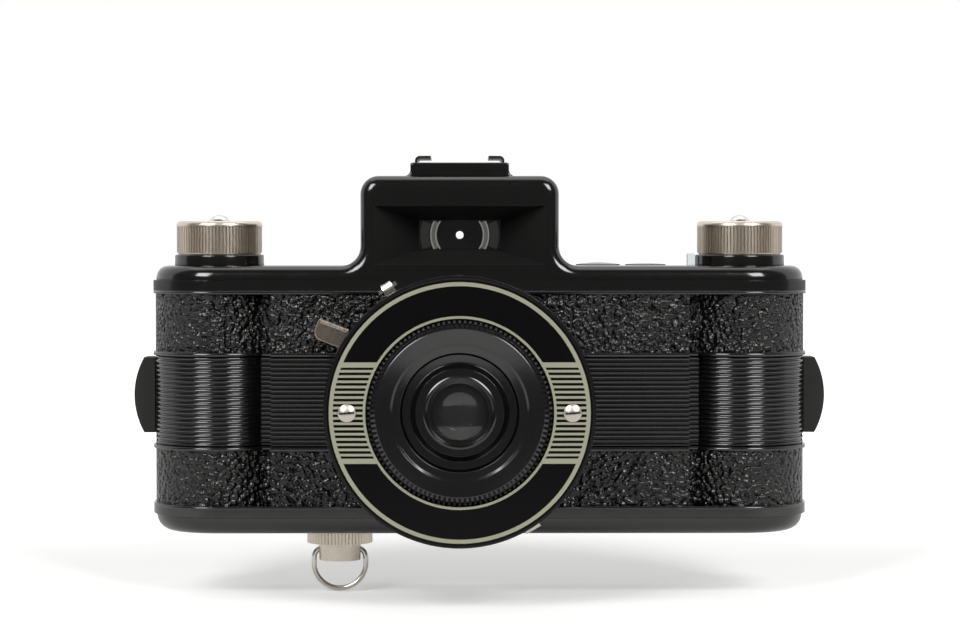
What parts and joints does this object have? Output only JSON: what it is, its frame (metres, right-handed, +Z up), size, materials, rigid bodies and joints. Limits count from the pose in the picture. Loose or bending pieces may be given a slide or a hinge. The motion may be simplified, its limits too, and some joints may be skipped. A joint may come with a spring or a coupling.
{
  "type": "panoramic film camera",
  "caption": "Moulded panoramic film camera with a striped drum lens, finder hump with accessory shoe, metal knobs, side latches and a strap screw with its ring.",
  "frame": {"origin": "on the underside of the bottom plate, midway between the two film chambers and at their mid-depth", "axes": "+X to the right as seen from the front, +Y to the back, +Z up"},
  "size_m": [0.156, 0.0544, 0.0976],
  "materials": {
    "grained_moulding": "black, pebbled and ribbed",
    "gloss_moulding": "black, glossy",
    "inner_moulding": "black, matte",
    "satin_black": "black, satin",
    "printed_ring": "black with a cream striped print",
    "latch_moulding": "dark grey, matte",
    "pewter": "fluted, dull pewter",
    "bright_screw": "polished",
    "dull_steel": "turned",
    "spring_steel": "bright drawn",
    "lever_metal": "brown nickel",
    "bright_sheet": "bright",
    "blackened_sheet": "blackened",
    "nickel": "warm nickel",
    "brass": "bare",
    "lens_glass": "polished",
    "clear_moulding": "clear",
    "white_moulding": "white"
  },
  "bodies": {
    "camera_body": {"body_shell": "grained_moulding", "bottom_plate": "gloss_moulding", "top_cover": "gloss_moulding", "film_chassis": "inner_moulding", "tripod_bush": "brass", "bottom_screws": "dull_steel", "lens_barrel": "gloss_moulding", "barrel_screws": "dull_steel", "lens_mount": "inner_moulding", "front_ring": "printed_ring", "ring_screws": "bright_screw", "rear_lens": "lens_glass", "shutter_spring": "spring_steel", "finder_glass": "lens_glass", "finder_eyepiece": "lens_glass", "shoe_plate": "bright_sheet", "shoe_insulator": "inner_moulding", "shoe_contact": "brass", "shoe_screws": "bright_screw", "dial_window": "clear_moulding", "pinion_window": "clear_moulding", "index_tab": "clear_moulding"},
    "back": {"back_cover": "grained_moulding", "pressure_plate": "dull_steel", "pressure_spring": "spring_steel"},
    "left_latch": {"left_latch": "latch_moulding"},
    "right_latch": {"right_latch": "latch_moulding"},
    "focus_ring": {"focus_ring": "satin_black"},
    "lens_cell": {"lens_cell": "satin_black", "front_lens": "lens_glass", "lens_retainer": "inner_moulding"},
    "shutter_lever": {"shutter_lever": "lever_metal"},
    "shutter_blade": {"shutter_blade": "blackened_sheet"},
    "stop_plate": {"stop_plate": "blackened_sheet"},
    "exposure_switch": {"exposure_switch": "bright_sheet"},
    "advance": {"advance_shaft": "dull_steel", "advance_knob": "pewter", "advance_screw": "bright_screw", "take_up_spool": "inner_moulding"},
    "rewind_hub": {"rewind_hub": "dull_steel"},
    "rewind": {"rewind_shaft": "dull_steel", "rewind_knob": "pewter", "rewind_screw": "bright_screw"},
    "sprocket": {"sprocket": "inner_moulding", "pinion": "white_moulding"},
    "counter_dial": {"counter_dial": "white_moulding"},
    "strap_screw": {"strap_screw": "nickel"},
    "strap_ring": {"strap_ring": "nickel"}
  },
  "joints": [
    {"name": "back_slide", "type": "slide", "parent": "camera_body", "child": "back", "axis": [0, 1, 0], "range_m": [0, 0.04]},
    {"name": "left_latch_slide", "type": "slide", "parent": "back", "child": "left_latch", "axis": [0, 0, 1], "range_m": [0, 0.004]},
    {"name": "right_latch_slide", "type": "slide", "parent": "back", "child": "right_latch", "axis": [0, 0, 1], "range_m": [0, 0.004]},
    {"name": "focus_turn", "type": "hinge", "parent": "camera_body", "child": "focus_ring", "pos_m": [-0.0045, -0.0318, 0.0285], "axis": [0, -1, 0], "range_deg": [0, 60]},
    {"name": "cell_slide", "type": "slide", "parent": "camera_body", "child": "lens_cell", "axis": [0, -1, 0], "range_m": [0, 0.0016]},
    {"name": "lever_press", "type": "hinge", "parent": "camera_body", "child": "shutter_lever", "pos_m": [-0.02172, -0.0198, 0.03765], "axis": [0, -1, 0], "range_deg": [0, 22], "stiffness_Nm_per_rad": 0.004, "springref_deg": -14.32},
    {"name": "blade_swing", "type": "hinge", "parent": "camera_body", "child": "shutter_blade", "pos_m": [-0.01809, -0.01845, 0.02216], "axis": [0, -1, 0], "range_deg": [-35.2, 0]},
    {"name": "stop_swing", "type": "hinge", "parent": "camera_body", "child": "stop_plate", "pos_m": [0.00271, -0.01735, 0.0165], "axis": [0, -1, 0], "range_deg": [0, 20]},
    {"name": "switch_swing", "type": "hinge", "parent": "camera_body", "child": "exposure_switch", "pos_m": [-0.0148, -0.0198, 0.04564], "axis": [0, -1, 0], "range_deg": [-18, 0]},
    {"name": "advance_turn", "type": "hinge", "parent": "camera_body", "child": "advance", "pos_m": [0.0584, 0, 0.06], "axis": [0, 0, 1], "continuous": true},
    {"name": "rewind_turn", "type": "hinge", "parent": "camera_body", "child": "rewind_hub", "pos_m": [-0.0584, 0, 0.059], "axis": [0, 0, 1], "continuous": true},
    {"name": "rewind_lift", "type": "slide", "parent": "rewind_hub", "child": "rewind", "axis": [0, 0, 1], "range_m": [0, 0.009]},
    {"name": "sprocket_turn", "type": "hinge", "parent": "camera_body", "child": "sprocket", "pos_m": [0.0376, 0.005, 0.03], "axis": [0, 0, 1], "continuous": true},
    {"name": "dial_turn", "type": "hinge", "parent": "camera_body", "child": "counter_dial", "pos_m": [0.0268, 0.005, 0.0567], "axis": [0, 0, 1], "continuous": true},
    {"name": "strap_turn", "type": "hinge", "parent": "camera_body", "child": "strap_screw", "pos_m": [-0.0315, 0, -0.003], "axis": [0, 0, 1], "continuous": true},
    {"name": "ring_swing", "type": "hinge", "parent": "strap_screw", "child": "strap_ring", "pos_m": [-0.0315, 0, -0.0045], "axis": [1, 0, 0], "range_deg": [-90, 90]}
  ],
  "couplings": [
    {"joint": "cell_slide", "follows": "focus_turn", "m_per_rad": 0.0015279},
    {"joint": "blade_swing", "follows": "lever_press", "ratio": -1.6},
    {"joint": "dial_turn", "follows": "sprocket_turn", "ratio": -0.5}
  ]
}
